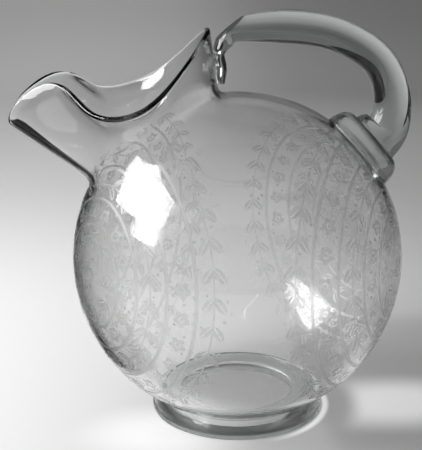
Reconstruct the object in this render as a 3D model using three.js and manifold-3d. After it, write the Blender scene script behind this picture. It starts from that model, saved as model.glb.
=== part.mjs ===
// A ball jug in clear blown glass. The ball, its neck and its lip are one shell. A foot ring is sealed under
// it, and a drawn handle runs from the back of the neck to a wafer of glass on the ball.
// Millimetres, +Z up. The spout points to -X, the handle to +X, and the foot stands on z = 0.
import * as THREE from 'three';
import { mergeVertices } from 'three/addons/utils/BufferGeometryUtils.js';
import Module from 'manifold-3d';

// Seals: the room left where one hot piece is stuck to another
const SEAL_GAP = 0.3;

// Ball
const BALL_RADIUS = 86;
const BALL_WALL = 3;
const BASE_RADIUS = 36; // flat under the ball
const FLOOR_THICKNESS = 4; // glass over that flat

// Neck, a tube that leaves the ball on a circle and leans towards the spout
const NECK_RADIUS = 39;
const NECK_TILT = THREE.MathUtils.degToRad(33);
const NECK_FILLET = 5; // run of the fillet on the ball and on the neck, at the front and the back
const NECK_FILLET_SIDE = 16; // and at the sides
const FILLET_EASE = 0.6; // how far the fillet holds on to both, as a share of its run
const NECK_FLARE = 0.3; // how much the wall of the neck opens out to the rim at the sides, over its length
const SHOULDER_MARGIN = 1.5; // of plain ball below the fillet
const LIP_CURL = 3.5; // swell of the wall below the rim, where the lip curls in on both sides of the spout
const LIP_CURL_START = THREE.MathUtils.degToRad(4); // round the neck, from the spout's tip
const LIP_CURL_END = THREE.MathUtils.degToRad(62);
const LIP_WALL = 2.6;

// Guide points of the mouth's rim, a smooth line that rounds them off. A rise is measured along the neck from
// its circle on the ball, a flare outwards from that circle, and a front distance from the neck's axis towards
// the spout. The lip is measured from the spout's guide point.
const SPOUT_FLARE = 19.1;
const SPOUT_RISE = 42.7;
const LIP_CORNER = { back: 6.9, half: 13.2, rise: 12.1 };
const LIP_SHOULDER = { back: 39.3, half: 15.4, rise: 15 };
const SIDE_FALL = { front: 19.9, flare: 6.2, rise: 31.5 };
const SIDE_DIP = { front: -1.2, flare: 12.5, rise: 20.4 };
const BACK_QUARTER = { front: -21.5, flare: 4.7, rise: 19.4 };
const BACK_FLARE = 30.1;
const BACK_RISE = 34.8;

// Foot ring
const FOOT_LIFT = 6.4; // from the table to the flat under the ball
const FOOT_LEDGE = 10.2; // its outer edge, out from the rim of that flat
const FOOT_SEAT = 4.2; // where its cove meets the ball, out from the rim of the flat
const FOOT_LAP = 5; // in under the flat
const FOOT_EDGE = 2.8; // height of its upright edge
const FOOT_EDGE_ROUND = 0.5;

// Wafer under the lower end of the handle
const WAFER_ANGLE = THREE.MathUtils.degToRad(41); // up the ball from its equator
const WAFER_LENGTH = 45; // up and down the ball
const WAFER_WIDTH = 39;
const WAFER_THICKNESS = 8.3;
const WAFER_EDGE = 7.5; // run of its rounded edge, up to the flat on top

// Handle
const ROD_RADIUS = 8.5;
const HAND_ROOM = 24.7; // between the top of the ball and the rod
const CROWN_X = 23.4; // highest point of the rod, from the ball's axis
const HANDLE_BOW = 8.2; // how far the rod swings out past its seat
const HANDLE_DROP = 20.8; // height of that swing over the seat
const HANDLE_SWELL = 9.3; // radius of the rod there
const BULB_LENGTH = 22.2; // up and down the ball
const BULB_WIDTH = 21;
const BULB_RISE = 8; // bulb above the seat, along the wafer's axis
const SEAT_SLIDE = 1; // seat down the wafer, from its middle
const SEAT_LENGTH = 30; // pressed end of the rod on the wafer
const SEAT_WIDTH = 23;
const TONGUE_LENGTH = 15; // pressed down the back of the neck
const TONGUE_CLEAR = 1; // above the neck's fillet
const TONGUE_WIDTH = 15;
const TONGUE_THICKNESS = 6.2;
const TONGUE_TIP_WIDTH = 9;
const TONGUE_TIP_THICKNESS = 4.2;
const BEND_OUT = 6.5; // middle of the bend over the tongue, off the neck's wall
const BEND_RISE = 5.5; // over the tongue
const BEND_HALF = 4.7; // half thickness there
const NECK_END_OUT = 10.4; // thin end of the rod, off the neck's wall
const NECK_END_RISE = 9; // over the tongue
const NECK_END_HALF = 5.5;
const FACET_RISE = 3.2; // sheared face over the middle of the bend
const FACET_ANGLE = THREE.MathUtils.degToRad(130); // its facing, from +X up

// Facets of the round forms
const AROUND_BODY = 60;
const AROUND_FOOT = 48;
const AROUND_WAFER = 28;
const AROUND_ROD = 16;
const BALL_ROWS = 15;
const SHOULDER_ROWS = 2;
const FILLET_ROWS = 4;
const NECK_WALL_ROWS = 6;
const LIP_ROWS = 4;
const COVE_ROWS = 4;
const SEAT_ROWS = 2;
const WAFER_UNDER_ROWS = 3;
const WAFER_EDGE_ROWS = 3;
const BOW_STEPS = 3;
const ROD_ROWS = 40;

// Solids that come from lofted rows of points

function loftGeometry(rows, startPoint, endPoint) {
  const around = rows[0].length;
  const points = [startPoint, ...rows.flat(), endPoint];
  const end = points.length - 1;
  const at = (row, column) => 1 + row * around + (column % around);
  const triangles = [];
  for (let column = 0; column < around; column += 1) {
    triangles.push(0, at(0, column), at(0, column + 1));
    for (let row = 0; row < rows.length - 1; row += 1) {
      triangles.push(at(row, column), at(row + 1, column), at(row, column + 1));
      triangles.push(at(row, column + 1), at(row + 1, column), at(row + 1, column + 1));
    }
    triangles.push(at(rows.length - 1, column), end, at(rows.length - 1, column + 1));
  }
  const geometry = new THREE.BufferGeometry().setFromPoints(points);
  geometry.setIndex(triangles);
  geometry.computeVertexNormals();
  return geometry;
}

// Shares of a run that end each of its equal steps
const stepsOf = (count) => Array.from({ length: count }, (_, index) => (index + 1) / count);

function centreOf(row) {
  const sum = row.reduce((total, point) => total.add(point), new THREE.Vector3());
  return sum.divideScalar(row.length);
}

function ring(centre, front, side, along, across, count) {
  return Array.from({ length: count }, (_, index) => {
    const angle = (index / count) * 2 * Math.PI;
    return centre.clone()
      .addScaledVector(front, along * Math.cos(angle))
      .addScaledVector(side, across * Math.sin(angle));
  });
}

// Height of the ball's centre over its flat and over the table
const baseDrop = Math.sqrt(BALL_RADIUS ** 2 - BASE_RADIUS ** 2);
const ballHeight = FOOT_LIFT + baseDrop;

// Axes of the neck, from the ball's centre
const SIDE = new THREE.Vector3(0, 1, 0);
const axisAt = (tilt) => new THREE.Vector3(-Math.sin(tilt), 0, Math.cos(tilt));
const frontAt = (tilt) => new THREE.Vector3(-Math.cos(tilt), 0, -Math.sin(tilt));
const neckAxis = axisAt(NECK_TILT);
const neckFront = frontAt(NECK_TILT);
const neckPolar = Math.asin(NECK_RADIUS / BALL_RADIUS);
const neckStart = BALL_RADIUS * Math.cos(neckPolar);
const inNeck = (front, half, rise) => new THREE.Vector3()
  .addScaledVector(neckFront, front)
  .addScaledVector(SIDE, half)
  .addScaledVector(neckAxis, neckStart + rise);

// Rim line: one half by its guide points, the other half mirrored
class RimCurve extends THREE.Curve {
  constructor(guides) {
    super();
    this.guides = guides;
  }

  getPoint(share, target = new THREE.Vector3()) {
    const count = this.guides.length;
    const first = Math.floor(share * count);
    const t = share * count - first;
    const pulls = [(1 - t) ** 3, 3 * t ** 3 - 6 * t ** 2 + 4, 1 + 3 * t + 3 * t ** 2 - 3 * t ** 3, t ** 3];
    target.set(0, 0, 0);
    pulls.forEach((pull, index) => {
      target.addScaledVector(this.guides[(first + count - 1 + index) % count], pull / 6);
    });
    return target;
  }
}

const spoutFront = NECK_RADIUS + SPOUT_FLARE;
const onLip = ({ back, half, rise }) => inNeck(spoutFront - back, half, SPOUT_RISE + rise);
const onSide = ({ front, flare, rise }) => (
  inNeck(front, Math.sqrt(NECK_RADIUS ** 2 - front ** 2) + flare, rise));
const mirrored = (point) => new THREE.Vector3(point.x, -point.y, point.z);
const sideGuides = [
  onLip(LIP_CORNER),
  onLip(LIP_SHOULDER),
  onSide(SIDE_FALL),
  onSide(SIDE_DIP),
  onSide(BACK_QUARTER),
];
const rim = new RimCurve([
  inNeck(spoutFront, 0, SPOUT_RISE),
  ...sideGuides,
  inNeck(-NECK_RADIUS - BACK_FLARE, 0, BACK_RISE),
  ...sideGuides.map(mirrored).reverse(),
]);
const rimLine = rim.getSpacedPoints(AROUND_BODY);
const backPeak = rim.getPoint(0.5);

// Rows of a sphere between a level flat and the neck's shoulder. Their planes hinge on one line, so they turn
// from level to the neck's tilt without crossing.
const topPolar = neckPolar + (Math.max(NECK_FILLET, NECK_FILLET_SIDE) + SHOULDER_MARGIN) / BALL_RADIUS;

function ballRows(radius, drop) {
  const topHeight = radius * Math.cos(topPolar);
  const hinge = (topHeight + drop * Math.cos(NECK_TILT)) / Math.sin(NECK_TILT);
  const reach = Math.hypot(hinge, drop);
  const basePolar = Math.acos(-drop / radius);
  return Array.from({ length: BALL_ROWS + 1 }, (_, row) => {
    const polar = THREE.MathUtils.lerp(basePolar, topPolar, row / BALL_ROWS);
    const height = radius * Math.cos(polar);
    const tilt = Math.atan2(drop, hinge) + Math.asin(height / reach);
    const centre = axisAt(tilt).multiplyScalar(height);
    const size = radius * Math.sin(polar);
    return ring(centre, frontAt(tilt), SIDE, size, size, AROUND_BODY);
  });
}

// One line up the outside of the neck: the shoulder, the fillet, then the wall, which flares at the sides and
// curls in beside the spout
function neckLine(column) {
  const turn = (column / AROUND_BODY) * 2 * Math.PI;
  const between = (first, second, angle) => first.clone()
    .multiplyScalar(Math.cos(angle))
    .addScaledVector(second, Math.sin(angle));
  const out = between(neckFront, SIDE, turn);
  const onBall = (polar) => between(neckAxis, out, polar).multiplyScalar(BALL_RADIUS);
  const run = THREE.MathUtils.lerp(NECK_FILLET_SIDE, NECK_FILLET, Math.cos(turn) ** 2);
  const filletPolar = neckPolar + run / BALL_RADIUS;
  const upBall = between(neckAxis, out, filletPolar - Math.PI / 2);
  const corner = onBall(neckPolar);
  const toRim = rimLine[column].clone().sub(corner).normalize();
  const offWall = out.clone().addScaledVector(toRim, -out.dot(toRim)).normalize();
  const upWall = toRim.addScaledVector(offWall, -NECK_FLARE * Math.sin(turn) ** 2).normalize();
  const start = onBall(filletPolar);
  const bend = corner.clone().addScaledVector(upWall, run);
  const fillet = new THREE.CubicBezierCurve3(
    start,
    start.clone().addScaledVector(upBall, FILLET_EASE * run),
    bend.clone().addScaledVector(upWall, -FILLET_EASE * run),
    bend,
  );
  const knee = bend.clone().addScaledVector(upWall, bend.distanceTo(rimLine[column]) / 2);
  const wall = new THREE.QuadraticBezierCurve3(bend, knee, rimLine[column]);
  const fromTip = Math.min(turn, 2 * Math.PI - turn);
  const curlShare = THREE.MathUtils.inverseLerp(LIP_CURL_START, LIP_CURL_END, fromTip);
  const curl = LIP_CURL * Math.sin(Math.PI * THREE.MathUtils.clamp(curlShare, 0, 1)) ** 2;
  const wallPoint = (step) => {
    const upper = Math.max(2 * step - 1, 0);
    return wall.getPoint(step).addScaledVector(offWall, curl * (27 / 4) * upper ** 2 * (1 - upper));
  };
  return [
    ...stepsOf(SHOULDER_ROWS).map((step) => onBall(THREE.MathUtils.lerp(topPolar, filletPolar, step))),
    ...stepsOf(FILLET_ROWS).map((step) => fillet.getPoint(step)),
    ...stepsOf(NECK_WALL_ROWS).map(wallPoint),
  ];
}

// Outer rows of the neck, above the last one of the ball
function neckRows() {
  const lines = Array.from({ length: AROUND_BODY }, (_, column) => neckLine(column));
  return lines[0].map((_, row) => lines.map((line) => line[row]));
}

function outwardNormals(rows, row) {
  const below = rows[Math.max(row - 1, 0)];
  const above = rows[Math.min(row + 1, rows.length - 1)];
  const count = rows[row].length;
  return rows[row].map((_, column) => {
    const along = above[column].clone().sub(below[column]);
    const around = rows[row][(column + 1) % count].clone().sub(rows[row][(column + count - 1) % count]);
    return along.cross(around).normalize();
  });
}

function bodyGeometry() {
  const outerBall = ballRows(BALL_RADIUS, baseDrop);
  const innerBall = ballRows(BALL_RADIUS - BALL_WALL, baseDrop - FLOOR_THICKNESS);
  const outerNeck = neckRows();
  const outer = [...outerBall, ...outerNeck];
  const innerNeck = outerNeck.map((points, index) => {
    const normals = outwardNormals(outer, outerBall.length + index);
    const wall = THREE.MathUtils.lerp(BALL_WALL, LIP_WALL, (index + 1) / outerNeck.length);
    return points.map((point, column) => point.clone().addScaledVector(normals[column], -wall));
  });
  const rim = outer[outer.length - 1];
  const beforeRim = outer[outer.length - 2];
  const rimNormals = outwardNormals(outer, outer.length - 1);
  const lip = stepsOf(LIP_ROWS).slice(0, -1).map((step) => rim.map((point, column) => {
    const turn = step * Math.PI;
    const up = point.clone().sub(beforeRim[column]).normalize();
    return point.clone()
      .addScaledVector(rimNormals[column], (LIP_WALL / 2) * (Math.cos(turn) - 1))
      .addScaledVector(up, (LIP_WALL / 2) * Math.sin(turn));
  }));
  const inner = [...innerBall, ...innerNeck].reverse();
  return loftGeometry([...outer, ...lip, ...inner], centreOf(outer[0]), centreOf(inner[inner.length - 1]));
}

// The foot: it seats on the flat and on the ball above it, and a cove runs out to its upright edge
function footGeometry() {
  const seatHeight = (radius) => ballHeight - Math.sqrt((BALL_RADIUS + SEAL_GAP) ** 2 - radius ** 2);
  const flatHeight = FOOT_LIFT - SEAL_GAP;
  const flatRim = Math.sqrt((BALL_RADIUS + SEAL_GAP) ** 2 - (ballHeight - flatHeight) ** 2);
  const bore = BASE_RADIUS - FOOT_LAP;
  const outside = BASE_RADIUS + FOOT_LEDGE;
  const seatRim = BASE_RADIUS + FOOT_SEAT;
  const cove = new THREE.QuadraticBezierCurve(
    new THREE.Vector2(outside - FOOT_EDGE_ROUND, FOOT_EDGE),
    new THREE.Vector2(seatRim, FOOT_EDGE),
    new THREE.Vector2(seatRim, seatHeight(seatRim)),
  ).getPoints(COVE_ROWS);
  const seat = stepsOf(SEAT_ROWS).map((step) => {
    const radius = THREE.MathUtils.lerp(seatRim, flatRim, step);
    return new THREE.Vector2(radius, seatHeight(radius));
  });
  const profile = [
    new THREE.Vector2(bore, 0),
    new THREE.Vector2(outside - FOOT_EDGE_ROUND, 0),
    new THREE.Vector2(outside, FOOT_EDGE_ROUND),
    new THREE.Vector2(outside, FOOT_EDGE - FOOT_EDGE_ROUND),
    ...cove,
    ...seat,
    new THREE.Vector2(bore, flatHeight),
    new THREE.Vector2(bore, 0),
  ];
  return new THREE.LatheGeometry(profile, AROUND_FOOT).rotateX(Math.PI / 2);
}

// The wafer, about the ball's centre with its own axis along +Z: hollow below to fit the ball, flat on top
function waferGeometry() {
  const seatRadius = BALL_RADIUS + SEAL_GAP;
  const top = BALL_RADIUS + WAFER_THICKNESS;
  const onBall = (point) => Math.sqrt(seatRadius ** 2 - point.length() ** 2);
  const outline = (halfLength, halfWidth) => (
    ring(new THREE.Vector3(), new THREE.Vector3(-1, 0, 0), SIDE, halfLength, halfWidth, AROUND_WAFER));
  const under = stepsOf(WAFER_UNDER_ROWS).map((step) => (
    outline(step * WAFER_LENGTH / 2, step * WAFER_WIDTH / 2).map((point) => point.setZ(onBall(point)))));
  const edge = stepsOf(WAFER_EDGE_ROWS).map((step) => {
    const turn = step * Math.PI / 2;
    const inward = WAFER_EDGE * (1 - Math.cos(turn));
    return outline(WAFER_LENGTH / 2 - inward, WAFER_WIDTH / 2 - inward)
      .map((point) => point.setZ(THREE.MathUtils.lerp(onBall(point), top, Math.sin(turn))));
  });
  return loftGeometry([...under, ...edge], new THREE.Vector3(0, 0, seatRadius), new THREE.Vector3(0, 0, top));
}

// The handle: one drawn rod through its stations, each with its half thickness in the jug's middle plane and
// its half width
const inPlane = (x, z) => new THREE.Vector3(x, 0, z);
const waferAxis = inPlane(Math.cos(WAFER_ANGLE), Math.sin(WAFER_ANGLE));
const waferDown = inPlane(Math.sin(WAFER_ANGLE), -Math.cos(WAFER_ANGLE));

function handleStations() {
  const wallFoot = inNeck(-NECK_RADIUS, 0, 0);
  const wallUp = backPeak.clone().sub(wallFoot).normalize();
  const wallOut = inPlane(wallUp.z, -wallUp.x);
  const offWall = (up, out) => wallFoot.clone().addScaledVector(wallUp, up).addScaledVector(wallOut, out);
  const tongueFoot = NECK_FILLET + TONGUE_CLEAR;
  const tongueTop = tongueFoot + TONGUE_LENGTH;
  const tongueStation = (up, thickness, width) => ({
    point: offWall(up, SEAL_GAP + thickness / 2), half: thickness / 2, width: width / 2 });
  const bend = offWall(tongueTop + BEND_RISE, BEND_OUT);
  const crown = inPlane(CROWN_X, BALL_RADIUS + HAND_ROOM + ROD_RADIUS);
  const seat = waferAxis.clone()
    .multiplyScalar(BALL_RADIUS + WAFER_THICKNESS + SEAL_GAP)
    .addScaledVector(waferDown, SEAT_SLIDE);
  const bulb = seat.clone().addScaledVector(waferAxis, BULB_RISE);
  const swing = inPlane(seat.x + HANDLE_BOW, seat.z + HANDLE_DROP);
  const bow = stepsOf(BOW_STEPS).slice(0, -1).map((step) => {
    const turn = step * Math.PI / 2;
    return inPlane(
      crown.x + (swing.x - crown.x) * Math.sin(turn),
      swing.z + (crown.z - swing.z) * Math.cos(turn),
    );
  });
  return {
    bend,
    stations: [
      tongueStation(tongueFoot, TONGUE_TIP_THICKNESS, TONGUE_TIP_WIDTH),
      tongueStation((tongueFoot + tongueTop) / 2, TONGUE_THICKNESS, TONGUE_WIDTH),
      tongueStation(tongueTop, TONGUE_THICKNESS, TONGUE_WIDTH),
      { point: bend, half: BEND_HALF, width: ROD_RADIUS },
      { point: offWall(tongueTop + NECK_END_RISE, NECK_END_OUT), half: NECK_END_HALF, width: ROD_RADIUS },
      { point: crown, half: ROD_RADIUS, width: ROD_RADIUS },
      ...bow.map((point) => ({ point, half: ROD_RADIUS, width: ROD_RADIUS })),
      { point: swing, half: HANDLE_SWELL, width: HANDLE_SWELL },
      { point: bulb, half: BULB_LENGTH / 2, width: BULB_WIDTH / 2 },
      { point: seat, half: SEAT_LENGTH / 2, width: SEAT_WIDTH / 2 },
    ],
  };
}

function rodGeometry(stations) {
  const path = new THREE.CatmullRomCurve3(stations.map((station) => station.point), false, 'centripetal');
  const sizes = new THREE.CatmullRomCurve3(
    stations.map((station) => new THREE.Vector3(station.half, station.width, 0)));
  const rows = Array.from({ length: ROD_ROWS + 1 }, (_, row) => {
    const run = row / ROD_ROWS;
    const size = sizes.getPoint(run);
    const tangent = path.getTangent(run);
    return ring(path.getPoint(run), inPlane(-tangent.z, tangent.x), SIDE, size.x, size.y, AROUND_ROD);
  });
  return loftGeometry(rows, centreOf(rows[0]), centreOf(rows[ROD_ROWS]));
}

// Joins and cuts of closed meshes
const wasm = await Module();
wasm.setup();

function toSolid(geometry) {
  const bare = geometry.clone();
  bare.deleteAttribute('normal');
  bare.deleteAttribute('uv');
  const merged = mergeVertices(bare);
  return new wasm.Manifold(new wasm.Mesh({
    numProp: 3,
    vertProperties: new Float32Array(merged.attributes.position.array),
    triVerts: new Uint32Array(merged.index.array),
  }));
}

function fromSolid(solid) {
  const mesh = solid.getMesh();
  const geometry = new THREE.BufferGeometry();
  geometry.setAttribute('position', new THREE.BufferAttribute(mesh.vertProperties, 3));
  geometry.setIndex(new THREE.BufferAttribute(mesh.triVerts, 1));
  geometry.computeVertexNormals();
  return geometry;
}

// The bend at the top of the tongue is sheared off flat
function handleGeometry({ bend, stations }) {
  const block = 4 * ROD_RADIUS;
  const facing = inPlane(Math.cos(FACET_ANGLE), Math.sin(FACET_ANGLE));
  const middle = bend.clone().addScaledVector(facing, FACET_RISE + block / 2);
  const shear = new THREE.BoxGeometry(block, block, block)
    .rotateY(-FACET_ANGLE)
    .translate(middle.x, middle.y, middle.z);
  return fromSolid(toSolid(rodGeometry(stations)).subtract(toSolid(shear)));
}

// Assembly: all pieces but the foot are modelled about the ball's centre, and the whole is centred on x = 0
const clearGlass = (name) => new THREE.MeshStandardMaterial({
  name, color: 0xdde2e2, roughness: 0.06, metalness: 0, transparent: true, opacity: 0.35 });

function addMesh(parent, name, geometry) {
  const mesh = new THREE.Mesh(geometry, clearGlass(`${name}_glass`));
  mesh.name = name;
  parent.add(mesh);
  return mesh;
}

const body = bodyGeometry();
const handle = handleGeometry(handleStations());
body.computeBoundingBox();
handle.computeBoundingBox();
const ballAxisX = -(body.boundingBox.min.x + handle.boundingBox.max.x) / 2;

const jug = new THREE.Group();
const standing = new THREE.Group();
standing.position.set(ballAxisX, 0, 0);
jug.add(standing);
const aboutBall = new THREE.Group();
aboutBall.position.set(0, 0, ballHeight);
standing.add(aboutBall);

addMesh(aboutBall, 'body', body);
addMesh(standing, 'foot_ring', footGeometry());
const wafer = addMesh(aboutBall, 'handle_wafer', waferGeometry());
wafer.rotation.y = Math.PI / 2 - WAFER_ANGLE;
addMesh(aboutBall, 'handle', handle);

export default jug;
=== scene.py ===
# A ball jug in clear blown glass with etched sprays, on a pale sweep beside a window.
import math

import bmesh
import bpy
from mathutils import Matrix, Vector
from mathutils.geometry import interpolate_bezier


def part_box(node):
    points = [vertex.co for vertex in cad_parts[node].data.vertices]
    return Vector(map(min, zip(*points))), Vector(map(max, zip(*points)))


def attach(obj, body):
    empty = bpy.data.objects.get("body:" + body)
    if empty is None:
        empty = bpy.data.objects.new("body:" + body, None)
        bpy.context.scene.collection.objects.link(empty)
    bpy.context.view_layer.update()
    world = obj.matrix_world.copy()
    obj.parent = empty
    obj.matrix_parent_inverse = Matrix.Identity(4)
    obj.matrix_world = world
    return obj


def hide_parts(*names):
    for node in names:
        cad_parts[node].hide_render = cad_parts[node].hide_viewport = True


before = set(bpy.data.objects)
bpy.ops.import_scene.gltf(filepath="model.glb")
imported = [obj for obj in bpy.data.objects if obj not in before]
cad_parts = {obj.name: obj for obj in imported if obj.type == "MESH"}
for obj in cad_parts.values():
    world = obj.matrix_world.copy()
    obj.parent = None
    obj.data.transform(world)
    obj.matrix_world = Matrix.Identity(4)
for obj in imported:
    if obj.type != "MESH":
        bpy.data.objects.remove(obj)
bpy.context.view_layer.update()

# The body: one gather of clear glass, blown to a ball and drawn up into a leaning neck, whose rim was cut
# and pinched into a pouring lip while hot. The wall is about 3 mm thick, the floor 4 mm, and the rim
# fire-polished.
BALL_RADIUS = 0.086
BALL_WALL = 0.003
BASE_RADIUS = 0.036
BASE_ROUND = 0.0015
BASE_RINGS = (0.005, 0.015, 0.025, 0.031)
FLOOR_WALL = 0.004
FLOOR_ROUND = 0.0065
FLOOR_RINGS = (0.022, 0.012, 0.004)
FOOT_LIFT = 0.0064
FOOT_SEAT = 0.0402
NECK_RADIUS = 0.039
NECK_TILT = math.radians(33)
NECK_FILLET = 0.005
NECK_FILLET_SIDE = 0.016
FILLET_EASE = 0.6
NECK_FLARE = 0.3
LIP_CURL = 0.0035
LIP_CURL_START = math.radians(4)
LIP_CURL_END = math.radians(62)
SHOULDER_MARGIN = 0.0015
LIP_WALL = 0.0026
SPOUT_GUIDE = {"front": 0.0581, "half": 0, "rise": 0.0427}
SIDE_GUIDES = (
    {"front": 0.0512, "half": 0.0132, "rise": 0.0548},
    {"front": 0.0188, "half": 0.0154, "rise": 0.0577},
    {"front": 0.0199, "half": 0.0397, "rise": 0.0315},
    {"front": -0.0012, "half": 0.0515, "rise": 0.0204},
    {"front": -0.0215, "half": 0.0372, "rise": 0.0194},
)
BACK_GUIDE = {"front": -0.0691, "half": 0, "rise": 0.0348}
AROUND_BODY = 176
BALL_ROWS = 84
LEVEL_ROWS = 4
ROUND_ROWS = 6
SHOULDER_ROWS = 8
FILLET_ROWS = 14
NECK_ROWS = 16
LIP_ROWS = 8
RIM_STEPS = 80
GLASS_TONE = (0.985, 0.99, 0.99, 1)
GLASS_IOR = 1.5
GLASS_PASSED = 0.86
DEPTH_TONE = (0.25, 0.29, 0.28, 1)
WAVE_SCALE = 38
WAVE_DETAIL = 1
WAVE_STRENGTH = 0.1
WAVE_HEIGHT = 0.0008

SIDE = Vector((0, 1, 0))


def drop_at(radius, size):
    """Depth of a level ring of this size below the centre of a ball of this radius."""
    return math.sqrt(radius ** 2 - size ** 2)


base_drop = drop_at(BALL_RADIUS, BASE_RADIUS)
foot_low, foot_high = (Vector(corner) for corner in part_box("foot_ring"))
ball_centre = Vector(((foot_low.x + foot_high.x) / 2, 0, FOOT_LIFT + base_drop))


def axis_at(tilt):
    return Vector((-math.sin(tilt), 0, math.cos(tilt)))


def front_at(tilt):
    return Vector((-math.cos(tilt), 0, -math.sin(tilt)))


def steps_of(count):
    return [(step + 1) / count for step in range(count)]


def ring_at(centre, front, along, across, count):
    turns = [2 * math.pi * step / count for step in range(count)]
    return [centre + along * math.cos(turn) * front + across * math.sin(turn) * SIDE for turn in turns]


def curved(start, corner, end, share):
    return (1 - share) ** 2 * start + 2 * share * (1 - share) * corner + share ** 2 * end


def drawn_past(guides, run):
    """Point of a closed smooth line that rounds off its guide points, at a run that counts them from 0."""
    first, t = int(run), run % 1
    pulls = ((1 - t) ** 3, 3 * t ** 3 - 6 * t ** 2 + 4, 1 + 3 * t + 3 * t ** 2 - 3 * t ** 3, t ** 3)
    nearest = (guides[(first + offset) % len(guides)] for offset in (-1, 0, 1, 2))
    return sum((pull / 6 * guide for pull, guide in zip(pulls, nearest)), Vector())


neck_axis, neck_front = axis_at(NECK_TILT), front_at(NECK_TILT)
neck_polar = math.asin(NECK_RADIUS / BALL_RADIUS)
neck_start = BALL_RADIUS * math.cos(neck_polar)
top_polar = neck_polar + (NECK_FILLET_SIDE + SHOULDER_MARGIN) / BALL_RADIUS


def in_neck(front, half, rise):
    return ball_centre + front * neck_front + half * SIDE + (neck_start + rise) * neck_axis


far_guides = [dict(guide, half=-guide["half"]) for guide in reversed(SIDE_GUIDES)]
rim_guides = [in_neck(**guide) for guide in (SPOUT_GUIDE, *SIDE_GUIDES, BACK_GUIDE, *far_guides)]


def rim_line():
    """Points spaced evenly round the rim, from the spout's tip."""
    fine = [drawn_past(rim_guides, step / RIM_STEPS) for step in range(RIM_STEPS * len(rim_guides) + 1)]
    runs = [0]
    for point, after in zip(fine, fine[1:]):
        runs.append(runs[-1] + (after - point).length)
    points, index = [], 0
    for column in range(AROUND_BODY):
        run = runs[-1] * column / AROUND_BODY
        while runs[index + 1] < run:
            index += 1
        share = (run - runs[index]) / (runs[index + 1] - runs[index])
        points.append(fine[index].lerp(fine[index + 1], share))
    return points


def level_ring(radius, drop):
    centre = ball_centre - Vector((0, 0, drop))
    return ring_at(centre, front_at(0), radius, radius, AROUND_BODY)


def ball_rows(radius, drop):
    """Rings up the ball. Their planes hinge on one line, so they turn from level to the neck's tilt and
    never cross."""
    top_height = radius * math.cos(top_polar)
    hinge = (top_height + drop * math.cos(NECK_TILT)) / math.sin(NECK_TILT)
    base_polar = math.acos(-drop / radius)
    rows = []
    for row in range(BALL_ROWS + 1):
        polar = base_polar + (top_polar - base_polar) * row / BALL_ROWS
        height = radius * math.cos(polar)
        tilt = math.atan2(drop, hinge) + math.asin(height / math.hypot(hinge, drop))
        size = radius * math.sin(polar)
        rows.append(ring_at(ball_centre + height * axis_at(tilt), front_at(tilt), size, size, AROUND_BODY))
    return rows


def rounded_base(radius, flat_drop, flat_end, wall_start, wall_end):
    """Level rings from the rim of a flat, round its corner and up the ball to the radius wall_end."""
    start = Vector((flat_end, flat_drop))
    corner = Vector((math.sqrt(radius ** 2 - flat_drop ** 2), flat_drop))
    end = Vector((wall_start, drop_at(radius, wall_start)))
    rows = [level_ring(*curved(start, corner, end, share)) for share in (0, *steps_of(ROUND_ROWS))]
    sizes = [wall_start + (wall_end - wall_start) * share for share in steps_of(LEVEL_ROWS)[:-1]]
    return rows + [level_ring(size, drop_at(radius, size)) for size in sizes]


def on_ball(polar, out):
    """Point of the ball at an angle from the neck's axis, on the side that out points to."""
    return ball_centre + BALL_RADIUS * (math.cos(polar) * neck_axis + math.sin(polar) * out)


def curl_round(turn):
    """How far the wall swells below the rim at a turn round the neck, so that the lip curls in beside the
    spout."""
    share = (min(turn, 2 * math.pi - turn) - LIP_CURL_START) / (LIP_CURL_END - LIP_CURL_START)
    return LIP_CURL * math.sin(math.pi * min(max(share, 0), 1)) ** 2


def curl_up(share):
    """Part of the swell at a share of the wall's height: none to halfway up, 1 at its fullest, none at the
    rim."""
    upper = max(2 * share - 1, 0)
    return 27 / 4 * upper ** 2 * (1 - upper)


def neck_rows():
    """Rings from the last one of the ball: the shoulder, a fillet that is widest at the sides, and a wall
    that flares there and curls in beside the spout."""
    lines = []
    for column, rim_point in enumerate(rim_line()):
        turn = 2 * math.pi * column / AROUND_BODY
        out = math.cos(turn) * neck_front + math.sin(turn) * SIDE
        fillet = NECK_FILLET_SIDE + (NECK_FILLET - NECK_FILLET_SIDE) * math.cos(turn) ** 2
        polar = neck_polar + fillet / BALL_RADIUS
        up_ball = math.sin(polar) * neck_axis - math.cos(polar) * out
        corner = on_ball(neck_polar, out)
        to_rim = (rim_point - corner).normalized()
        wall_side = (out - out.dot(to_rim) * to_rim).normalized()
        up_wall = (to_rim - NECK_FLARE * math.sin(turn) ** 2 * wall_side).normalized()
        start, bend = on_ball(polar, out), corner + fillet * up_wall
        knee = bend + (rim_point - bend).length / 2 * up_wall
        ease = FILLET_EASE * fillet
        line = [on_ball(top_polar + (polar - top_polar) * share, out) for share in steps_of(SHOULDER_ROWS)]
        line += interpolate_bezier(
            start, start + ease * up_ball, bend - ease * up_wall, bend, FILLET_ROWS + 1)[1:]
        for share in steps_of(NECK_ROWS):
            swell = curl_round(turn) * curl_up(share)
            line.append(curved(bend, knee, rim_point, share) + swell * wall_side)
        lines.append(line)
    return [list(row) for row in zip(*lines)]


def outward(rows, row):
    """Normals of the rings' surface at one ring."""
    below, ring, above = rows[row - 1], rows[row], rows[min(row + 1, len(rows) - 1)]
    around = [after - before for after, before in zip(ring[1:] + ring[:1], ring[-1:] + ring[:-1])]
    return [(high - low).cross(along).normalized() for high, low, along in zip(above, below, around)]


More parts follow.
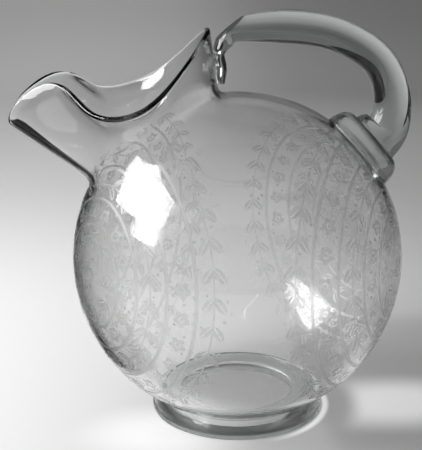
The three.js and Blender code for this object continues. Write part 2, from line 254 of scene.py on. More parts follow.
def draw_out(bm, ring, points):
    """Draws an open edge of glass out to a next ring of points and returns the new edge's vertices."""
    edges = [bm.edges.get(pair) for pair in zip(ring, ring[1:] + ring[:1])]
    drawn = set(bmesh.ops.extrude_edge_only(bm, edges=edges)["geom"])
    fresh = []
    for vert, point in zip(ring, points):
        grown = next(edge.other_vert(vert) for edge in vert.link_edges if edge.other_vert(vert) in drawn)
        grown.co = point
        fresh.append(grown)
    return fresh


def turn_outwards(bm):
    """Turns the faces outwards and shades them smooth."""
    bmesh.ops.recalc_face_normals(bm, faces=bm.faces)
    for face in bm.faces:
        face.smooth = True


def draw_glass(rows):
    """A closed piece of glass, drawn ring by ring."""
    bm = bmesh.new()
    ring = bmesh.ops.create_circle(bm, cap_ends=True, segments=len(rows[0]), radius=1)["verts"]
    for vert, point in zip(ring, rows[0]):
        vert.co = point
    for points in rows[1:]:
        ring = draw_out(bm, ring, points)
    bmesh.ops.contextual_create(bm, geom=[bm.edges.get(pair) for pair in zip(ring, ring[1:] + ring[:1])])
    turn_outwards(bm)
    return bm


def add_object(bm, name, material):
    mesh = bpy.data.meshes.new(name)
    bm.to_mesh(mesh)
    bm.free()
    mesh.materials.append(material)
    made = bpy.data.objects.new(name, mesh)
    bpy.context.collection.objects.link(made)
    return made


def add_piece(bm, name, node, material):
    piece = add_object(bm, name, material)
    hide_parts(node)
    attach(piece, "root")


outer = [level_ring(size, base_drop) for size in BASE_RINGS]
outer += rounded_base(BALL_RADIUS, base_drop, BASE_RADIUS - BASE_ROUND, BASE_RADIUS + BASE_ROUND, FOOT_SEAT)
outer += ball_rows(BALL_RADIUS, drop_at(BALL_RADIUS, FOOT_SEAT))
neck_first = len(outer)
outer += neck_rows()

inside = BALL_RADIUS - BALL_WALL
floor_drop = base_drop - FLOOR_WALL
floor_size = math.sqrt(inside ** 2 - floor_drop ** 2)
wall_size = floor_size + 2 * FLOOR_ROUND
inner = [level_ring(size, floor_drop) for size in reversed(FLOOR_RINGS)]
inner += rounded_base(inside, floor_drop, floor_size - FLOOR_ROUND, floor_size + FLOOR_ROUND, wall_size)
inner += ball_rows(inside, drop_at(inside, wall_size))
for row in range(neck_first, len(outer)):
    wall = BALL_WALL + (LIP_WALL - BALL_WALL) * (row + 1 - neck_first) / (len(outer) - neck_first)
    inner.append([point - wall * normal for point, normal in zip(outer[row], outward(outer, row))])

lip = []
rim_normals = outward(outer, len(outer) - 1)
for share in steps_of(LIP_ROWS)[:-1]:
    turn = math.pi * share
    lip.append([
        point + LIP_WALL / 2 * ((math.cos(turn) - 1) * normal + math.sin(turn) * (point - below).normalized())
        for point, below, normal in zip(outer[-1], outer[-2], rim_normals)])

body_bm = draw_glass(outer + lip + inner[::-1])


def place_on(material):
    """Places on a piece, for the patterns of its material."""
    return material.node_tree.nodes.new("ShaderNodeTexCoord").outputs["Object"]


def lead(pattern, material, shader, quality):
    """Lets a pattern set a quality of one of the material's shaders."""
    material.node_tree.links.new(pattern, material.node_tree.nodes[shader].inputs[quality])


def clear_glass(name, grey, passed):
    """Clear glass with a faint grey in its depth and the slight waves of blown work. A share of the light is
    passed on at each face, into its shadow."""
    material = bpy.data.materials.new(name)
    material.use_nodes = True
    nodes, links = material.node_tree.nodes, material.node_tree.links
    glass = nodes["Principled BSDF"]
    glass.inputs["Base Color"].default_value = GLASS_TONE
    glass.inputs["Roughness"].default_value = 0.0
    glass.inputs["IOR"].default_value = GLASS_IOR
    glass.inputs["Transmission Weight"].default_value = 1
    waves = nodes.new("ShaderNodeTexNoise")
    waves.inputs["Scale"].default_value = WAVE_SCALE
    waves.inputs["Detail"].default_value = WAVE_DETAIL
    links.new(place_on(material), waves.inputs["Vector"])
    bump = nodes.new("ShaderNodeBump")
    bump.inputs["Strength"].default_value = WAVE_STRENGTH
    bump.inputs["Distance"].default_value = WAVE_HEIGHT
    links.new(waves.outputs["Fac"], bump.inputs["Height"])
    links.new(bump.outputs["Normal"], glass.inputs["Normal"])
    depth = nodes.new("ShaderNodeVolumeAbsorption")
    depth.inputs["Color"].default_value = DEPTH_TONE
    depth.inputs["Density"].default_value = grey
    links.new(depth.outputs["Volume"], nodes["Material Output"].inputs["Volume"])
    shade = nodes.new("ShaderNodeBsdfTransparent")
    shade.inputs["Color"].default_value = (passed, passed, passed, 1)
    light_path = nodes.new("ShaderNodeLightPath")
    mix = nodes.new("ShaderNodeMixShader")
    links.new(light_path.outputs["Is Shadow Ray"], mix.inputs["Fac"])
    links.new(glass.outputs["BSDF"], mix.inputs[1])
    links.new(shade.outputs["BSDF"], mix.inputs[2])
    links.new(mix.outputs["Shader"], nodes["Material Output"].inputs["Surface"])
    return material


# The etching: four round sprays, two to each flank of the ball, each of wreaths of small leaves, blossoms and
# bands one inside the other, with a stipple between. It is a satin, bitten into the outside, and stops short
# of the wafer.
BODY_GREY = 6
FLOOR_PASSED = 1
FLOOR_EDGE = (-0.070, -0.060)
SPRAY_AXIS = Vector((0.9, 0.43, 0.05)).normalized()
ETCH_DEPTH = 0.0015
ETCH_SOFT = 0.0002
ETCH_ROUGHNESS = 0.28
ETCH_MILK = 0.06
ETCH_TONE = 0.8
STEM_HALF = 0.0004
RIB_HALF = 0.0003
LEAF_LEAN = math.radians(35)
LEAF_WREATHS = (
    {"ring": math.radians(52), "count": 31, "length": 0.0098, "half": 0.0021, "root": -0.0055},
    {"ring": math.radians(31), "count": 20, "length": 0.0098, "half": 0.0021, "root": -0.0055},
    {"ring": math.radians(13), "count": 9, "length": 0.0092, "half": 0.0020, "root": -0.0052},
)
PETAL_NOTCH = 0.35
BLOSSOM_EYE = 0.3
BLOSSOM_WREATHS = (
    {"ring": math.radians(42), "count": 26, "size": 0.0042, "petals": 5, "start": 0},
    {"ring": math.radians(21.5), "count": 14, "size": 0.0042, "petals": 5, "start": 0.5},
)
ROSETTE = {"size": 0.0070, "petals": 8}
BANDS = (math.radians(46.5), math.radians(37), math.radians(26), math.radians(17.5))
BAND_HALF = 0.0009
STIPPLE_SCALE = 210
STIPPLE_SIZE = 0.2
STIPPLE_SOFT = 0.04
STIPPLE_EDGE = (math.radians(60), math.radians(54))
GROUND_EDGE = (math.radians(27), math.radians(12))
GROUND_DEPTH = 0.75
WAFER_ANGLE = math.radians(41)
WAFER_CLEAR = (math.cos(math.radians(19)), math.cos(math.radians(21)))

wafer_axis = Vector((math.cos(WAFER_ANGLE), 0, math.sin(WAFER_ANGLE)))
etched_glass = clear_glass("etched_glass", BODY_GREY, GLASS_PASSED)


def fade(value, start, end, low=0, high=1):
    """A soft step from low to high between two values."""
    tree = value.id_data
    step = tree.nodes.new("ShaderNodeMapRange")
    step.interpolation_type = "SMOOTHSTEP"
    for socket, number in (("From Min", start), ("From Max", end), ("To Min", low), ("To Max", high)):
        step.inputs[socket].default_value = number
    tree.links.new(value, step.inputs["Value"])
    return step.outputs["Result"]


def reckon(kind, operation, values):
    """One step of reckoning on a material, with fixed values and the results of earlier steps."""
    tree = next(value.id_data for value in values if isinstance(value, bpy.types.NodeSocket))
    step = tree.nodes.new(kind)
    step.operation = operation
    for socket, value in zip(step.inputs, values):
        if isinstance(value, bpy.types.NodeSocket):
            tree.links.new(value, socket)
        else:
            socket.default_value = value
    return step.outputs


def work(operation, *values):
    """A step with numbers."""
    return reckon("ShaderNodeMath", operation, values)["Value"]


def shifted(operation, place, by):
    """A step with places that gives a place."""
    return reckon("ShaderNodeVectorMath", operation, (place, by))["Vector"]


def measured(operation, *places):
    """A step with places that gives a number."""
    return reckon("ShaderNodeVectorMath", operation, places)["Value"]


def split(place):
    """The three parts of a place, along X, Y and Z."""
    tree = place.id_data
    step = tree.nodes.new("ShaderNodeSeparateXYZ")
    tree.links.new(place, step.inputs["Vector"])
    return step.outputs[:]


def within(edge):
    return fade(edge, -ETCH_SOFT, ETCH_SOFT)


from_centre = shifted("SUBTRACT", place_on(etched_glass), ball_centre)
reach = measured("LENGTH", from_centre)
etch_x, etch_y, etch_z = split(from_centre)
mirror = etched_glass.node_tree.nodes.new("ShaderNodeCombineXYZ")
for socket, part in zip(mirror.inputs, (work("ABSOLUTE", etch_x), work("ABSOLUTE", etch_y), etch_z)):
    etched_glass.node_tree.links.new(part, socket)
mirrored = mirror.outputs["Vector"]

spray_side = SPRAY_AXIS.cross(Vector((0, 0, 1))).normalized()
spray_turn = work("ARCTAN2", measured("DOT_PRODUCT", mirrored, spray_side.cross(SPRAY_AXIS)),
                  measured("DOT_PRODUCT", mirrored, spray_side))
spray_polar = work("ARCCOSINE", work("DIVIDE", measured("DOT_PRODUCT", mirrored, SPRAY_AXIS), reach))


def along_ring(ring, count, start):
    """Place along a ring round the spray, from the middle of the nearest of its repeats."""
    repeat = work("FRACT", work("MULTIPLY_ADD", spray_turn, count / (2 * math.pi), count + start))
    return work("MULTIPLY", work("SUBTRACT", repeat, 0.5), 2 * math.pi * BALL_RADIUS * math.sin(ring) / count)


def across_ring(ring):
    return work("MULTIPLY", work("SUBTRACT", spray_polar, ring), BALL_RADIUS)


def leaf_pairs(ring, count, length, half, root):
    """A stem round the spray with pairs of pointed leaves, each with a clear rib."""
    out = work("ABSOLUTE", across_ring(ring))
    from_root = work("SUBTRACT", along_ring(ring, count, 0), root)
    run = work("MULTIPLY_ADD", from_root, math.cos(LEAF_LEAN), work("MULTIPLY", out, math.sin(LEAF_LEAN)))
    off = work("ABSOLUTE", work("SUBTRACT", work("MULTIPLY", out, math.cos(LEAF_LEAN)),
                                work("MULTIPLY", from_root, math.sin(LEAF_LEAN))))
    from_middle = work("MULTIPLY_ADD", run, 2 / length, -1)
    half_there = work("MULTIPLY", work("SUBTRACT", 1, work("MULTIPLY", from_middle, from_middle)), half)
    blade = within(work("SUBTRACT", half_there, off))
    ribbed = work("MULTIPLY", blade, within(work("SUBTRACT", off, RIB_HALF)))
    return work("MAXIMUM", ribbed, within(work("SUBTRACT", STEM_HALF, out)))


def petals_round(out, turn, size, petals):
    """A blossom of round petals about a clear eye."""
    petal = work("ABSOLUTE", work("COSINE", work("MULTIPLY", turn, petals / 2)))
    edge = work("MULTIPLY_ADD", petal, PETAL_NOTCH * size, (1 - PETAL_NOTCH) * size)
    eye = work("ABSOLUTE", work("SUBTRACT", out, BLOSSOM_EYE * size))
    return work("MULTIPLY", within(work("SUBTRACT", edge, out)), within(work("SUBTRACT", eye, RIB_HALF)))


def blossoms(ring, count, size, petals, start):
    along, across = along_ring(ring, count, start), across_ring(ring)
    out = work("SQRT", work("ADD", work("MULTIPLY", along, along), work("MULTIPLY", across, across)))
    return petals_round(out, work("ARCTAN2", across, along), size, petals)


stipple = etched_glass.node_tree.nodes.new("ShaderNodeTexVoronoi")
stipple.inputs["Scale"].default_value = STIPPLE_SCALE
etched_glass.node_tree.links.new(from_centre, stipple.inputs["Vector"])
dots = fade(stipple.outputs["Distance"], STIPPLE_SIZE + STIPPLE_SOFT, STIPPLE_SIZE - STIPPLE_SOFT)

sprays = [petals_round(work("MULTIPLY", spray_polar, BALL_RADIUS), spray_turn, **ROSETTE)]
sprays += [leaf_pairs(**wreath) for wreath in LEAF_WREATHS]
sprays += [blossoms(**wreath) for wreath in BLOSSOM_WREATHS]
sprays += [within(work("SUBTRACT", BAND_HALF, work("ABSOLUTE", across_ring(band)))) for band in BANDS]
sprays += [work("MULTIPLY", dots, fade(spray_polar, *STIPPLE_EDGE))]
marks = fade(spray_polar, *GROUND_EDGE, 0, GROUND_DEPTH)
for spray in sprays:
    marks = work("MAXIMUM", marks, spray)
off_outside = work("ABSOLUTE", work("SUBTRACT", reach, BALL_RADIUS))
marks = work("MULTIPLY", marks, within(work("SUBTRACT", ETCH_DEPTH, off_outside)))
to_wafer = measured("DOT_PRODUCT", from_centre, wafer_axis / BALL_RADIUS)
marks = work("MULTIPLY", marks, fade(to_wafer, *WAFER_CLEAR))
lead(fade(marks, 0, 1, GLASS_TONE[0], ETCH_TONE), etched_glass, "Principled BSDF", "Base Color")
lead(work("MULTIPLY", marks, ETCH_ROUGHNESS), etched_glass, "Principled BSDF", "Roughness")
lead(work("MULTIPLY_ADD", marks, -ETCH_MILK, 1), etched_glass, "Principled BSDF", "Transmission Weight")
floor_light = fade(etch_z, *FLOOR_EDGE, FLOOR_PASSED, GLASS_PASSED)
lead(floor_light, etched_glass, "Transparent BSDF", "Color")
add_piece(body_bm, "body_glass", "body", etched_glass)

# The foot: a ring of hot glass sealed under the ball, tooled to a cove above and an upright edge, and ground
# flat below.
FOOT_BORE = 0.031
FOOT_OUTSIDE = 0.0462
FOOT_EDGE = 0.0028
FOOT_EDGE_ROUND = 0.0006
FOOT_BITE = 0.0005
FOOT_SHARP = math.radians(40)
FOOT_GREY = 8
FOOT_PASSED = 0.99
FOOT_GROUND = 0.2
FOOT_GROUND_EDGE = (0.0003, 0.0001)
AROUND_FOOT = 176
COVE_ROWS = 12
MERGE_GAP = 1e-6


def spin_round(points, middle, steps, closed):
    """A shape spun about an upright axis from a line of points, each given by its radius and height."""
    bm = bmesh.new()
    line = [bm.verts.new((middle + radius, 0, height)) for radius, height in points]
    ends = line[1:] + line[:1] if closed else line[1:]
    edges = [bm.edges.new(pair) for pair in zip(line, ends)]
    bmesh.ops.spin(bm, geom=line + edges, cent=(middle, 0, 0), axis=(0, 0, 1), angle=2 * math.pi,
                   steps=steps, use_merge=True)
    bmesh.ops.remove_doubles(bm, verts=bm.verts, dist=MERGE_GAP)
    return bm


def edge_corner(height, turn):
    """Point of a rounded corner of the foot's edge, whose middle lies at this height."""
    return (FOOT_OUTSIDE - FOOT_EDGE_ROUND * (1 - math.cos(turn)), height + FOOT_EDGE_ROUND * math.sin(turn))


seat_height = ball_centre.z - drop_at(BALL_RADIUS - FOOT_BITE, FOOT_SEAT)
cove = (Vector((FOOT_OUTSIDE - FOOT_EDGE_ROUND, FOOT_EDGE)), Vector((FOOT_SEAT, FOOT_EDGE)),
        Vector((FOOT_SEAT, seat_height)))
foot_line = [
    (FOOT_BORE, 0),
    *(edge_corner(FOOT_EDGE_ROUND, turn) for turn in (-math.pi / 2, -math.pi / 4, 0)),
    *(edge_corner(FOOT_EDGE - FOOT_EDGE_ROUND, turn) for turn in (0, math.pi / 4)),
    *(curved(*cove, share) for share in (0, *steps_of(COVE_ROWS))),
    (BASE_RADIUS, FOOT_LIFT + FOOT_BITE),
    (FOOT_BORE, FOOT_LIFT + FOOT_BITE),
]
foot_bm = spin_round(foot_line, ball_centre.x, AROUND_FOOT, closed=True)
turn_outwards(foot_bm)
for edge in foot_bm.edges:
    edge.smooth = edge.calc_face_angle(0) < FOOT_SHARP
foot_glass = clear_glass("foot_glass", FOOT_GREY, FOOT_PASSED)
foot_height = split(place_on(foot_glass))[2]
lead(fade(foot_height, *FOOT_GROUND_EDGE, 0, FOOT_GROUND), foot_glass, "Principled BSDF", "Roughness")
add_piece(foot_bm, "foot_glass", "foot_ring", foot_glass)

# The wafer: an oval pad of hot glass dropped on the back of the ball to carry the handle, pressed flat on
# top, with a rounded edge.
WAFER_LENGTH = 0.045
WAFER_WIDTH = 0.039
WAFER_THICKNESS = 0.0083
WAFER_EDGE = 0.0075
WAFER_BITE = 0.0005
WAFER_UNDER_SHARE = 0.98
WAFER_TOP_STEP = 0.002
WAFER_GREY = 14
AROUND_WAFER = 96
WAFER_UNDER_ROWS = 10
WAFER_EDGE_ROWS = 10

wafer_down = Vector((math.sin(WAFER_ANGLE), 0, -math.cos(WAFER_ANGLE)))


def wafer_ring(inward, lift):
    """Ring of the wafer's outline moved inward, at a share of the way from the ball to the top."""
    half_length, half_width = WAFER_LENGTH / 2 - inward, WAFER_WIDTH / 2 - inward
    points = []
    for point in ring_at(Vector(), wafer_down, half_length, half_width, AROUND_WAFER):
        low = math.sqrt((BALL_RADIUS - WAFER_BITE) ** 2 - point.length_squared)
        height = low + lift * (BALL_RADIUS + WAFER_THICKNESS - low)
        points.append(ball_centre + point + height * wafer_axis)
    return points


under_reach = WAFER_UNDER_SHARE * WAFER_WIDTH / 2
wafer_rows = [wafer_ring(under_reach * (1 - share), 0) for share in steps_of(WAFER_UNDER_ROWS)]
for share in steps_of(WAFER_EDGE_ROWS):
    turn = share * math.pi / 2
    wafer_rows.append(wafer_ring(WAFER_EDGE * (1 - math.cos(turn)), math.sin(turn)))
wafer_rows.append(wafer_ring(WAFER_EDGE + WAFER_TOP_STEP, 1))
wafer_glass = clear_glass("wafer_glass", WAFER_GREY, GLASS_PASSED)
add_piece(draw_glass(wafer_rows), "wafer_glass", "handle_wafer", wafer_glass)

# The handle: a rod of glass drawn out hot, pressed down on the back of the neck as a thin tongue, sheared off
# at the bend, looped over and stuck down on the wafer in a bulb.
ROD_RADIUS = 0.0085
HAND_ROOM = 0.0247
CROWN_X = 0.0234
HANDLE_BOW = 0.0082
HANDLE_DROP = 0.0208
HANDLE_SWELL = 0.0093
BULB_LENGTH = 0.0222
BULB_WIDTH = 0.021
BULB_RISE = 0.008
SEAT_SLIDE = 0.001
SEAT_LENGTH = 0.030
SEAT_WIDTH = 0.023
TONGUE_LENGTH = 0.015
TONGUE_CLEAR = 0.001
TONGUE_WIDTH = 0.015
TONGUE_THICKNESS = 0.0062
TONGUE_TIP_WIDTH = 0.009
TONGUE_TIP_THICKNESS = 0.0042
TONGUE_BITE = 0.0003
BEND_OUT = 0.0065
BEND_RISE = 0.0055
BEND_HALF = 0.0047
NECK_END_OUT = 0.0104
NECK_END_RISE = 0.009
NECK_END_HALF = 0.0055
FACET_RISE = 0.0032
FACET_ANGLE = math.radians(130)
HANDLE_GREY = 32
AROUND_ROD = 48
ROD_ROWS = 160
BOW_TURNS = (math.pi / 6, math.pi / 3)
STILL_GAP = 0.03
NEAR_RUN = 0.01

wall_foot = in_neck(-NECK_RADIUS, 0, 0)
back_peak = drawn_past(rim_guides, len(rim_guides) / 2)
wall_up = (back_peak - wall_foot).normalized()
wall_out = Vector((wall_up.z, 0, -wall_up.x))
tongue_foot = NECK_FILLET + TONGUE_CLEAR
tongue_top = tongue_foot + TONGUE_LENGTH
crown = ball_centre + Vector((CROWN_X, 0, BALL_RADIUS + HAND_ROOM + ROD_RADIUS))
seat = ball_centre + (BALL_RADIUS + WAFER_THICKNESS) * wafer_axis + SEAT_SLIDE * wafer_down
swing = seat + Vector((HANDLE_BOW, 0, HANDLE_DROP))


def off_wall(up, out):
    return wall_foot + up * wall_up + out * wall_out


def tongue_station(up, thickness, width):
    return off_wall(up, thickness / 2 - TONGUE_BITE), thickness / 2, width / 2


def bow_point(turn):
    """Point of the handle's bow, a quarter of an oval from the crown to the swing."""
    drop, run = crown.z - swing.z, swing.x - crown.x
    return Vector((crown.x + run * math.sin(turn), 0, swing.z + drop * math.cos(turn)))


def through(stations, run):
    """Point of a smooth line through the stations, at a run that counts them from 0. Stations that are alike
    count as STILL_GAP apart."""
    count = len(stations)
    first = min(int(run), count - 2)
    share = run - first
    before, start, end, after = (stations[(first + offset) % count] for offset in (-1, 0, 1, 2))
    if first == 0:
        before = 2 * start - end
    if first == count - 2:
        after = 2 * end - start
    gap = math.sqrt((end - start).length) or STILL_GAP
    gap_before = math.sqrt((start - before).length) or gap
    gap_after = math.sqrt((after - end).length) or gap
    leave = gap * ((start - before) / gap_before - (end - before) / (gap_before + gap) + (end - start) / gap)
    arrive = gap * ((end - start) / gap - (after - start) / (gap + gap_after) + (after - end) / gap_after)
    return (start + share * leave + share ** 2 * (3 * (end - start) - 2 * leave - arrive)
            + share ** 3 * (2 * (start - end) + leave + arrive))


bend_middle = off_wall(tongue_top + BEND_RISE, BEND_OUT)
stations = [
    tongue_station(tongue_foot, TONGUE_TIP_THICKNESS, TONGUE_TIP_WIDTH),
    tongue_station((tongue_foot + tongue_top) / 2, TONGUE_THICKNESS, TONGUE_WIDTH),
    tongue_station(tongue_top, TONGUE_THICKNESS, TONGUE_WIDTH),
    (bend_middle, BEND_HALF, ROD_RADIUS),
    (off_wall(tongue_top + NECK_END_RISE, NECK_END_OUT), NECK_END_HALF, ROD_RADIUS),
    (crown, ROD_RADIUS, ROD_RADIUS),
    *((bow_point(turn), ROD_RADIUS, ROD_RADIUS) for turn in BOW_TURNS),
    (swing, HANDLE_SWELL, HANDLE_SWELL),
    (seat + BULB_RISE * wafer_axis, BULB_LENGTH / 2, BULB_WIDTH / 2),
    (seat - WAFER_BITE * wafer_axis, SEAT_LENGTH / 2, SEAT_WIDTH / 2),
]
path = [middle for middle, _, _ in stations]
sizes = [Vector((half, width, 0)) for _, half, width in stations]
last_run = len(stations) - 1
rod_rows = []
for row in range(ROD_ROWS + 1):
    run = last_run * row / ROD_ROWS
    ahead = through(path, min(run + NEAR_RUN, last_run)) - through(path, max(run - NEAR_RUN, 0))
    across = Vector((-ahead.z, 0, ahead.x)).normalized()
    size = through(sizes, run)
    rod_rows.append(ring_at(through(path, run), across, size.x, size.y, AROUND_ROD))
handle_bm = draw_glass(rod_rows)
facing = Vector((math.cos(FACET_ANGLE), 0, math.sin(FACET_ANGLE)))
cut = bmesh.ops.bisect_plane(
    handle_bm, geom=handle_bm.verts[:] + handle_bm.edges[:] + handle_bm.faces[:],
    plane_co=bend_middle + FACET_RISE * facing, plane_no=facing, clear_outer=True)
facet = bmesh.ops.contextual_create(
    handle_bm, geom=[item for item in cut["geom_cut"] if isinstance(item, bmesh.types.BMEdge)])
bmesh.ops.recalc_face_normals(handle_bm, faces=handle_bm.faces)
for face in facet["faces"]:
    face.smooth = False
handle_glass = clear_glass("handle_glass", HANDLE_GREY, GLASS_PASSED)
add_piece(handle_bm, "handle_glass", "handle", handle_glass)

# The sweep: a round pale board that the jug stands on, curving up to a low wall all round. It is painted
# matt, with painted shade that darkens it towards the back, the back right corner, the top of the wall and
# the right, and its paint carries a painted shadow of the jug and glowing painted light where the ball
# gathers the window's light.
SWEEP_MIDDLE = 0.2
SWEEP_FLOOR = 1.0
SWEEP_RADIUS = 0.3
SWEEP_ROWS = 16
SWEEP_STEPS = 96
FLOOR_DROP = 0.0003
BOARD_TONE = 0.88
# Painted shade: the board's tone darkens towards the back right corner, the back, up the wall and to the
# right, standing in for the window's light falling off.
PAINTED_CORNER_SHADE_BACK = (0.5, 1.25)
PAINTED_CORNER_SHADE_RIGHT = (-0.3, 0.6)
PAINTED_CORNER_SHADE_SHARE = 0.62
PAINTED_BACK_SHADE = (0.15, 0.5, 1, 0.86)
PAINTED_WALL_SHADE = (0, 0.12, 1, 0.8)
PAINTED_RIGHT_SHADE = (0.02, 0.22, 1, 0.78)
# Painted shadow: a soft oval of darker paint where the jug's shadow falls, right of the foot.
PAINTED_SHADOW_OVAL = {"middle": (0.139, 0.015), "reach": (0.155, 0.115)}
PAINTED_SHADOW_SOFT = (1.1, 0.6)
PAINTED_SHADOW_START = (0.045, 0.065)
PAINTED_SHADOW_SHARE = 0.8
# Painted light: a glowing streak in the board's paint right of the foot, where the ball gathers the window's
# light.
PAINTED_CAUSTIC_OVAL = {"middle": (0.098, -0.010), "reach": (0.068, 0.040)}
PAINTED_CAUSTIC_SOFT = (1, 0.25)
PAINTED_CAUSTIC_LIGHT = 0.36
PAINTED_CAUSTIC_START = (1.25, 1.55)
# Painted light: a glowing pool in the board's paint in front of and left of the foot, for light spilt through
# the glass.
PAINTED_SPILL_OVAL = {"middle": (-0.026, -0.034), "reach": (0.058, 0.042)}
PAINTED_SPILL_SOFT = (1, 0.2)
PAINTED_SPILL_LIGHT = 0.26
# Painted light: a thin glowing ring in the board's paint just round the foot, on its right side.
PAINTED_RING_INSIDE = (1.0, 1.03)
PAINTED_RING_OUTSIDE = (1.11, 1.05)
PAINTED_RING_START = (0.02, 0.05)
PAINTED_RING_LIGHT = 0.4

sweep_line = [(SWEEP_MIDDLE, -FLOOR_DROP), (SWEEP_FLOOR, -FLOOR_DROP)]
for share in steps_of(SWEEP_ROWS):
    turn = share * math.pi / 2
    rise = SWEEP_RADIUS * (1 - math.cos(turn))
    sweep_line.append((SWEEP_FLOOR + SWEEP_RADIUS * math.sin(turn), rise - FLOOR_DROP))
sweep_bm = spin_round(sweep_line, 0, SWEEP_STEPS, closed=False)
floor_hole = [edge for edge in sweep_bm.edges if edge.is_boundary and edge.verts[0].co.z < 0]
bmesh.ops.holes_fill(sweep_bm, edges=floor_hole)
turn_outwards(sweep_bm)

pale_board = bpy.data.materials.new("pale_board")
pale_board.use_nodes = True
board_paint = pale_board.node_tree.nodes["Principled BSDF"]
board_paint.inputs["Roughness"].default_value = 1
board_paint.inputs["Specular IOR Level"].default_value = 0
board_paint.inputs["Emission Color"].default_value = (1, 1, 1, 1)
board_place = place_on(pale_board)
board_x, board_y, board_z = split(board_place)


def oval(middle, reach):
    """Distance from the middle of an oval on the board, 1 at its edge."""
    return measured("LENGTH", shifted("DIVIDE", shifted("SUBTRACT", board_place, (*middle, 0)), (*reach, 1)))


# Painted shade multiplied into the board's tone: the back right corner, the back, the wall's top, the right,
# and the jug's painted shadow.
painted_corner_shade = work("MULTIPLY", fade(board_y, *PAINTED_CORNER_SHADE_BACK), fade(board_x, *PAINTED_CORNER_SHADE_RIGHT))
# The jug's painted shadow on the board, kept off the floor under the foot.
shade = work("MULTIPLY", fade(oval(**PAINTED_SHADOW_OVAL), *PAINTED_SHADOW_SOFT), fade(board_x, *PAINTED_SHADOW_START))
tone = work("MULTIPLY", BOARD_TONE, fade(painted_corner_shade, 0, 1, 1, PAINTED_CORNER_SHADE_SHARE))
for share in (fade(board_y, *PAINTED_BACK_SHADE), fade(board_z, *PAINTED_WALL_SHADE), fade(board_x, *PAINTED_RIGHT_SHADE),
              fade(shade, 0, 1, 1, PAINTED_SHADOW_SHARE)):
    tone = work("MULTIPLY", tone, share)
lead(tone, pale_board, "Principled BSDF", "Base Color")

off_foot = oval((ball_centre.x, 0), (FOOT_OUTSIDE, FOOT_OUTSIDE))
# Painted light: the streak right of the foot glows from the board's paint, held off the floor next to the
# foot.
painted_caustic = fade(oval(**PAINTED_CAUSTIC_OVAL), *PAINTED_CAUSTIC_SOFT, 0, PAINTED_CAUSTIC_LIGHT)
painted_caustic = work("MULTIPLY", painted_caustic, fade(off_foot, *PAINTED_CAUSTIC_START))
# Painted light: the pool in front of and left of the foot.
painted_spill = fade(oval(**PAINTED_SPILL_OVAL), *PAINTED_SPILL_SOFT, 0, PAINTED_SPILL_LIGHT)
# Painted light: the ring just round the foot, faded in towards its right side.
painted_light_ring = work("MULTIPLY", fade(off_foot, *PAINTED_RING_INSIDE), fade(off_foot, *PAINTED_RING_OUTSIDE))
painted_light_ring = work("MULTIPLY", painted_light_ring, fade(board_x, *PAINTED_RING_START, 0, PAINTED_RING_LIGHT))
# The painted streak, spill and ring of light glow from the board's paint.
lead(work("ADD", work("ADD", painted_caustic, painted_spill), painted_light_ring), pale_board, "Principled BSDF", "Emission Strength")
sweep = add_object(sweep_bm, "sweep", pale_board)

# The flag and the cards: black card beside, before and above the view, which only the glass shows, as the
# dark lines of its outline. The flag stands left of the jug and has an apron on the floor.
FLAG_LINE = (
    (-0.13, -0.06, 0.16),
    (-0.142, 0.03, 0.16),
    (-0.152, 0.10, 0.16),
    (-0.19, 0.45, 0.05),
    (-0.235, 0.95, 0.05),
)
FLAG_APRON = ((-0.064, -0.06), (-0.070, 0.03), (-0.115, 0.10), (-0.18, 0.45), (-0.225, 0.95))
FLAG_LIFT = 0.0005
CARD_TOP = 0.8
RIGHT_CARD = ((0.75, -0.75), (0.55, 1.15))
FRONT_CARD = ((-0.6, -0.75), (0.75, -0.75))
TOP_CARD = ((-0.55, -0.75), (0.75, -0.75), (0.55, 0.9), (-0.55, 0.9))
CARD_TONE = (0.02, 0.02, 0.02, 1)

black_card = bpy.data.materials.new("black_card")
black_card.use_nodes = True
card_paint = black_card.node_tree.nodes["Principled BSDF"]
card_paint.inputs["Base Color"].default_value = CARD_TONE
card_paint.inputs["Roughness"].default_value = 1


def add_card(bm, name):
    """A card that only glass and gloss show."""
    card = add_object(bm, name, black_card)
    card.visible_camera = False
    card.visible_diffuse = False
    card.visible_shadow = False


flag_bm = bmesh.new()
flag_rows = []
for inner_edge, (x, y, top) in zip(FLAG_APRON, FLAG_LINE):
    corners = ((*inner_edge, FLAG_LIFT), (x, y, FLAG_LIFT), (x, y, top))
    flag_rows.append([flag_bm.verts.new(corner) for corner in corners])
for row, after in zip(flag_rows, flag_rows[1:]):
    for low in (0, 1):
        bmesh.ops.contextual_create(flag_bm, geom=row[low:low + 2] + after[low:low + 2])
add_card(flag_bm, "flag")

cards_bm = bmesh.new()
for near, far in (RIGHT_CARD, FRONT_CARD):
    corners = ((*near, 0), (*far, 0), (*far, CARD_TOP), (*near, CARD_TOP))
    bmesh.ops.contextual_create(cards_bm, geom=[cards_bm.verts.new(corner) for corner in corners])
bmesh.ops.contextual_create(cards_bm, geom=[cards_bm.verts.new((*corner, CARD_TOP)) for corner in TOP_CARD])
add_card(cards_bm, "cards")

# The light: daylight from an upright window on the left, with soft light from the ceiling and from above the
# back of the board, and a dim room all round. The glass shows only the window of the three lamps.
WINDOW_SIDES = (0.63, 0.46)
WINDOW_WATTS = 8.8
WINDOW_FROM_BALL = Vector((-0.6, -0.01, 0.40))
SOFT_LAMPS = (
    {"name": "ceiling", "sides": (2, 2), "watts": 0.6, "place": Matrix.Translation((0, 0, 1.8))},
    {"name": "back", "sides": (0.6, 0.6), "watts": 1.2, "place": Matrix.Translation((-0.25, 0.8, 0.7))},
)
ROOM_LIGHT = 0.165


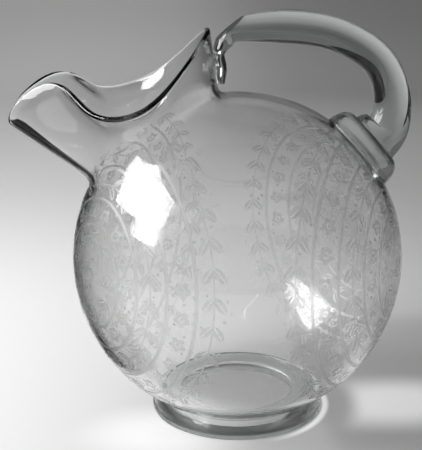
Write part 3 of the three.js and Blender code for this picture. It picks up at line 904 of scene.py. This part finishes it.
def add_lamp(name, sides, watts, place):
    light = bpy.data.lights.new(name, "AREA")
    light.shape = "RECTANGLE"
    light.size, light.size_y = sides
    light.energy = watts
    lamp = bpy.data.objects.new(name, light)
    lamp.matrix_world = place
    bpy.context.collection.objects.link(lamp)
    return lamp


facing_right = Matrix.Rotation(-math.pi / 2, 4, "Y") @ Matrix.Rotation(math.pi / 2, 4, "Z")
window_place = Matrix.Translation(ball_centre + WINDOW_FROM_BALL) @ facing_right
add_lamp("window", WINDOW_SIDES, WINDOW_WATTS, window_place)
for soft in SOFT_LAMPS:
    soft_lamp = add_lamp(**soft)
    soft_lamp.visible_glossy = False
    soft_lamp.visible_transmission = False

room = bpy.data.worlds.new("room")
room.use_nodes = True
room.node_tree.nodes["Background"].inputs["Color"].default_value = (1, 1, 1, 1)
room.node_tree.nodes["Background"].inputs["Strength"].default_value = ROOM_LIGHT
bpy.context.scene.world = room

# The camera: at the photograph's height and turn, aimed so that the ball lies right of and below the middle
# of the picture, with enough bounces for the walls of glass that lie one behind the other.
EYE_DISTANCE = 0.560
EYE_RISE = math.radians(18.5)
EYE_TURN = math.radians(5.67)
FOCAL_PIXELS = 1057.2
IMAGE_SIZE = (422, 450)
BALL_PIXEL = (236.8, 255)
GLASS_BOUNCES = 32
GLOSS_BOUNCES = 8

eye_level = Vector((-math.sin(EYE_TURN), -math.cos(EYE_TURN), 0))
eye = EYE_DISTANCE * (math.cos(EYE_RISE) * eye_level + math.sin(EYE_RISE) * Vector((0, 0, 1)))
ahead = -eye.normalized()
right = ahead.cross(Vector((0, 0, 1))).normalized()
up = right.cross(ahead)
yaw = math.atan((BALL_PIXEL[0] - IMAGE_SIZE[0] / 2) / FOCAL_PIXELS)
pitch = math.atan((BALL_PIXEL[1] - IMAGE_SIZE[1] / 2) / FOCAL_PIXELS * math.cos(yaw))
ahead, right = (math.cos(yaw) * ahead - math.sin(yaw) * right, math.cos(yaw) * right + math.sin(yaw) * ahead)
ahead, up = (math.cos(pitch) * ahead + math.sin(pitch) * up, math.cos(pitch) * up - math.sin(pitch) * ahead)
lens = bpy.data.cameras.new("lens")
lens.lens = FOCAL_PIXELS * lens.sensor_width / max(IMAGE_SIZE)
camera = bpy.data.objects.new("camera", lens)
camera_turn = Matrix((right, up, -ahead)).transposed().to_4x4()
camera.matrix_world = Matrix.Translation(ball_centre + eye) @ camera_turn
bpy.context.collection.objects.link(camera)
scene = bpy.context.scene
scene.camera = camera
scene.view_settings.view_transform = "Standard"
scene.cycles.max_bounces = GLASS_BOUNCES
scene.cycles.transmission_bounces = GLASS_BOUNCES
scene.cycles.glossy_bounces = GLOSS_BOUNCES
scene.cycles.caustics_refractive = False
scene.cycles.caustics_reflective = False
